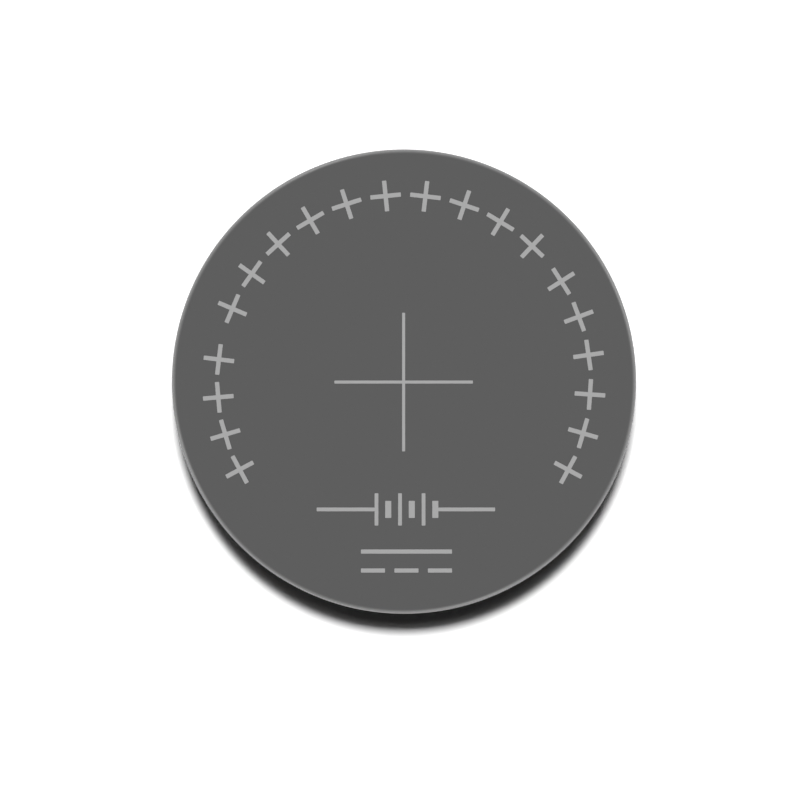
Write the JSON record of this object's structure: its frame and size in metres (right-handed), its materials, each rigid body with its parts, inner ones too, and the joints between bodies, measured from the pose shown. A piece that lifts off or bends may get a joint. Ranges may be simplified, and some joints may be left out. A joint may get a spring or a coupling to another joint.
{
  "type": "lithium coin cell",
  "caption": "Flat round lithium coin cell: a steel can curled over a gasket round a stepped cap, with stacked electrodes, leads and a wave spring sealed inside.",
  "frame": {"origin": "centre of the flat face of the negative cap, which the cell lies on", "axes": "+Z is the cell's axis, up through the face of the positive can; +Y points to the cathode lead inside and -Y to the anode lead"},
  "size_m": [0.0244, 0.0244, 0.005],
  "materials": {
    "can_steel": "dark grey stainless steel, satin face",
    "gasket_plastic": "moulded polypropylene, natural",
    "cap_steel": "satin stainless steel",
    "aluminium": "bright rolled sheet",
    "cathode_coating": "matt black lithium metal oxide coating",
    "anode_coating": "matt dark grey graphite coating",
    "separator_film": "white porous film",
    "nickel": "bright nickel strip",
    "spacer_steel": "satin stainless steel",
    "spring_steel": "rolled spring steel"
  },
  "bodies": {
    "root": {"positive_can": "can_steel", "sealing_gasket": "gasket_plastic", "negative_cap": "cap_steel", "cathode_contact_disc": "aluminium", "cathode_1": "cathode_coating", "cathode_2": "cathode_coating", "cathode_3": "cathode_coating", "cathode_4": "cathode_coating", "cathode_5": "cathode_coating", "anode_1": "anode_coating", "anode_2": "anode_coating", "anode_3": "anode_coating", "anode_4": "anode_coating", "anode_5": "anode_coating", "separator_1": "separator_film", "separator_2": "separator_film", "separator_3": "separator_film", "separator_4": "separator_film", "separator_5": "separator_film", "separator_6": "separator_film", "separator_7": "separator_film", "separator_8": "separator_film", "separator_9": "separator_film", "cathode_lead": "aluminium", "anode_lead": "nickel", "spacer_plate": "spacer_steel", "wave_spring": "spring_steel"}
  },
  "joints": []
}
